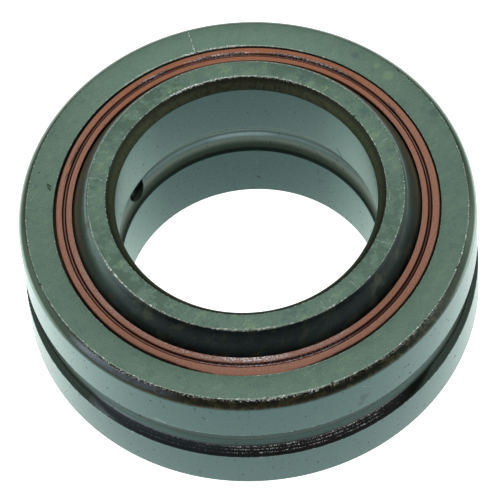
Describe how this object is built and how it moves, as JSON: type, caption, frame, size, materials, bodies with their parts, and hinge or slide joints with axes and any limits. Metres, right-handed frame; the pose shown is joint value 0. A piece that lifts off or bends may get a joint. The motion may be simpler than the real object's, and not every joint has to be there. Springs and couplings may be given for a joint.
{
  "type": "spherical plain bearing",
  "caption": "Sealed spherical plain bearing: a ball-faced inner ring tilts and turns inside a fractured outer ring, between double-lip seals.",
  "frame": {"origin": "centre of the ball, where the bore's axis meets the middle plane of both rings", "axes": "+Z along the bore; +X is the axis that the outer ring tilts about; the fracture in the outer ring is near +Y"},
  "size_m": [0.035, 0.035, 0.016],
  "materials": {
    "inner_ring_steel": "grey-green phosphated steel, ground under the coat, worn bright at the edges",
    "outer_ring_steel": "grey-green phosphated steel with darker chamfers and groove",
    "seal_elastomer": "matt red-brown moulded elastomer"
  },
  "bodies": {
    "inner_ring": {"inner_ring": "inner_ring_steel"},
    "seals": {"upper_seal": "seal_elastomer", "lower_seal": "seal_elastomer"},
    "outer_ring": {"outer_ring": "outer_ring_steel"}
  },
  "joints": [
    {"name": "tilt", "type": "hinge", "parent": "inner_ring", "child": "seals", "pos_m": [0, 0, 0], "axis": [1, 0, 0], "range_deg": [-9, 9]},
    {"name": "swivel", "type": "hinge", "parent": "seals", "child": "outer_ring", "pos_m": [0, 0, 0], "axis": [0, 0, 1], "continuous": true}
  ]
}
